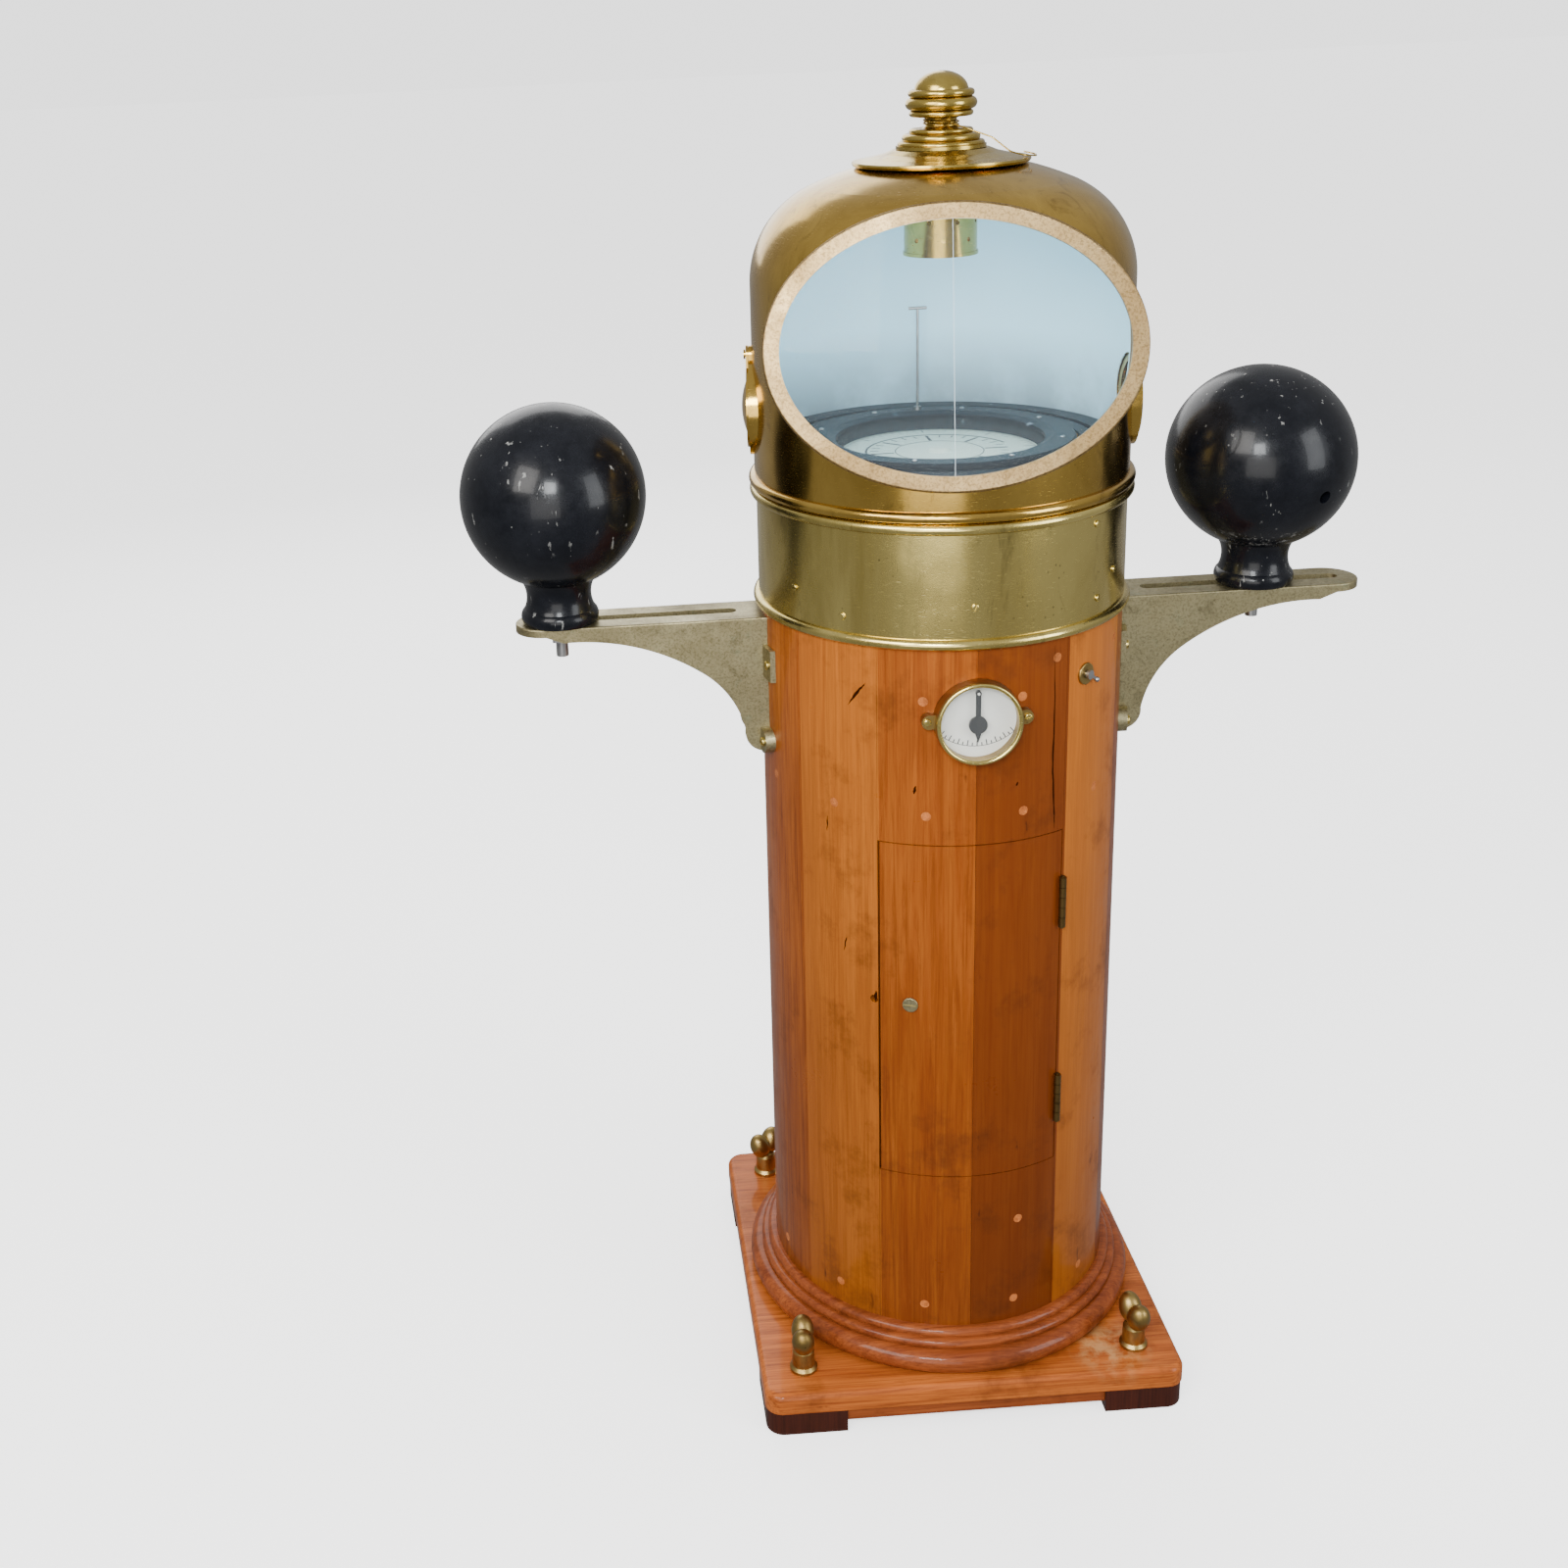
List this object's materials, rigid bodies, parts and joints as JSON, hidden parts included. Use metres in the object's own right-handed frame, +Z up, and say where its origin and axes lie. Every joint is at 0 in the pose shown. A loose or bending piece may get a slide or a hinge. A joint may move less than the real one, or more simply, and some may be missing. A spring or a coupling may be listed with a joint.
{
  "type": "binnacle compass",
  "caption": "Wooden ship's binnacle: gimballed compass under a windowed brass hood, correcting spheres on slotted brackets, pendulum inclinometer, door, square base.",
  "frame": {"origin": "on the floor, under the middle of the round column and of the four hold-down bolts", "axes": "+Z up; -Y is the front, with the door and the inclinometer; +X to the right as seen from the front, along the brackets"},
  "size_m": [0.877, 0.426, 1.304],
  "materials": {
    "varnished_wood": "varnished teak, orange-brown",
    "dark_wood": "dark stained hardwood",
    "aged_brass": "tarnished brass",
    "polished_brass": "polished brass with a brown tone",
    "cast_bronze": "rough cast bronze, greenish grey",
    "black_iron": "black paint over cast iron, chipped",
    "black_paint": "worn black paint",
    "clear_glass": "clear",
    "pale_enamel": "pale enamel",
    "magnet_steel": "hardened steel"
  },
  "bodies": {
    "stand": {"base_panel": "varnished_wood", "base_cleats": "varnished_wood", "corner_feet": "dark_wood", "base_rails": "varnished_wood", "base_moulding": "varnished_wood", "full_staves": "varnished_wood", "staves_above_door": "varnished_wood", "staves_below_door": "varnished_wood", "stave_plugs": "varnished_wood", "brass_band": "aged_brass", "brass_screws": "aged_brass", "left_bracket": "cast_bronze", "right_bracket": "cast_bronze", "hinge_jamb_leaves": "aged_brass", "hinge_pins": "aged_brass", "inclinometer_case": "aged_brass", "inclinometer_dial": "pale_enamel", "inclinometer_glass": "clear_glass", "switch_plate": "aged_brass", "gimbal_support_ring": "black_paint", "bowl_shelf": "dark_wood", "heeling_tube": "aged_brass", "magnet_rack": "aged_brass", "lamp_holder": "aged_brass", "lamp_bulb": "clear_glass"},
    "door": {"door_staves": "varnished_wood", "door_battens": "dark_wood", "door_hinge_leaves": "aged_brass"},
    "latch": {"door_latch": "aged_brass"},
    "pendulum": {"inclinometer_pendulum": "aged_brass"},
    "switch": {"switch_lever": "aged_brass"},
    "left_corrector": {"left_sphere": "black_iron", "left_clamp_bolt": "aged_brass"},
    "right_corrector": {"right_sphere": "black_iron", "right_clamp_bolt": "aged_brass"},
    "hood": {"hood_shell": "polished_brass", "window_frame": "polished_brass", "window_glass": "clear_glass", "vent_skirt": "polished_brass", "port_rings": "polished_brass"},
    "cap": {"vent_cap": "polished_brass", "cap_finial": "polished_brass", "cap_wire": "polished_brass"},
    "left_cover": {"left_port_cover": "polished_brass"},
    "right_cover": {"right_port_cover": "polished_brass"},
    "gimbal": {"gimbal_ring": "black_paint", "gimbal_pins": "aged_brass"},
    "bowl": {"compass_bowl": "black_paint", "bezel_ring": "black_paint", "bowl_glass": "clear_glass", "card_pivot": "aged_brass", "sight_vane": "aged_brass"},
    "card": {"compass_card": "pale_enamel"},
    "tray": {"magnet_tray": "dark_wood", "corrector_magnets": "magnet_steel"},
    "bucket": {"heeling_bucket": "aged_brass"},
    "nut_front_left": {"hold_down_nut_front_left": "aged_brass"},
    "nut_front_right": {"hold_down_nut_front_right": "aged_brass"},
    "nut_rear_left": {"hold_down_nut_rear_left": "aged_brass"},
    "nut_rear_right": {"hold_down_nut_rear_right": "aged_brass"}
  },
  "joints": [
    {"name": "door_hinge", "type": "hinge", "parent": "stand", "child": "door", "pos_m": [0.08797, -0.15612, 0.442], "axis": [0, 0, 1], "range_deg": [0, 110]},
    {"name": "door_turn_latch", "type": "hinge", "parent": "door", "child": "latch", "pos_m": [-0.05909, -0.16504, 0.453], "axis": [-0.3371, -0.9415, 0], "range_deg": [0, 90]},
    {"name": "inclinometer_swing", "type": "hinge", "parent": "stand", "child": "pendulum", "pos_m": [0, -0.1795, 0.772], "axis": [0, -1, 0], "range_deg": [-40, 40]},
    {"name": "lamp_switch", "type": "hinge", "parent": "stand", "child": "switch", "pos_m": [0.11008, -0.13988, 0.7696], "axis": [0.6184, -0.7859, 0], "range_deg": [-30, 60]},
    {"name": "left_sphere_slide", "type": "slide", "parent": "stand", "child": "left_corrector", "axis": [1, 0, 0], "range_m": [-0.016, 0.087]},
    {"name": "right_sphere_slide", "type": "slide", "parent": "stand", "child": "right_corrector", "axis": [1, 0, 0], "range_m": [-0.028, 0.075]},
    {"name": "hood_lift", "type": "slide", "parent": "stand", "child": "hood", "axis": [0, 0, 1], "range_m": [0, 0.2]},
    {"name": "cap_lift", "type": "slide", "parent": "hood", "child": "cap", "axis": [0, 0, 1], "range_m": [0, 0.03]},
    {"name": "left_cover_swing", "type": "hinge", "parent": "hood", "child": "left_cover", "pos_m": [-0.18858, 0.02315, 1.053], "axis": [0.9925, -0.1219, 0], "range_deg": [0, 100]},
    {"name": "right_cover_swing", "type": "hinge", "parent": "hood", "child": "right_cover", "pos_m": [0.18858, -0.02315, 1.053], "axis": [0.9925, -0.1219, 0], "range_deg": [0, 100]},
    {"name": "gimbal_outer", "type": "hinge", "parent": "stand", "child": "gimbal", "pos_m": [0, 0, 0.96], "axis": [0, 1, 0], "range_deg": [-25, 25]},
    {"name": "gimbal_inner", "type": "hinge", "parent": "gimbal", "child": "bowl", "pos_m": [0, 0, 0.96], "axis": [1, 0, 0], "range_deg": [-25, 25]},
    {"name": "card_turn", "type": "hinge", "parent": "bowl", "child": "card", "pos_m": [0, 0, 0.953], "axis": [0, 0, 1], "continuous": true},
    {"name": "magnet_tray_lift", "type": "slide", "parent": "stand", "child": "tray", "axis": [0, 0, 1], "range_m": [-0.1, 0.09]},
    {"name": "heeling_bucket_lift", "type": "slide", "parent": "stand", "child": "bucket", "axis": [0, 0, 1], "range_m": [-0.08, 0.09]},
    {"name": "nut_front_left_turn", "type": "hinge", "parent": "stand", "child": "nut_front_left", "pos_m": [-0.17, -0.171, 0.06], "axis": [0, 0, 1], "continuous": true},
    {"name": "nut_front_right_turn", "type": "hinge", "parent": "stand", "child": "nut_front_right", "pos_m": [0.17, -0.171, 0.06], "axis": [0, 0, 1], "continuous": true},
    {"name": "nut_rear_left_turn", "type": "hinge", "parent": "stand", "child": "nut_rear_left", "pos_m": [-0.17, 0.171, 0.06], "axis": [0, 0, 1], "continuous": true},
    {"name": "nut_rear_right_turn", "type": "hinge", "parent": "stand", "child": "nut_rear_right", "pos_m": [0.17, 0.171, 0.06], "axis": [0, 0, 1], "continuous": true}
  ]
}
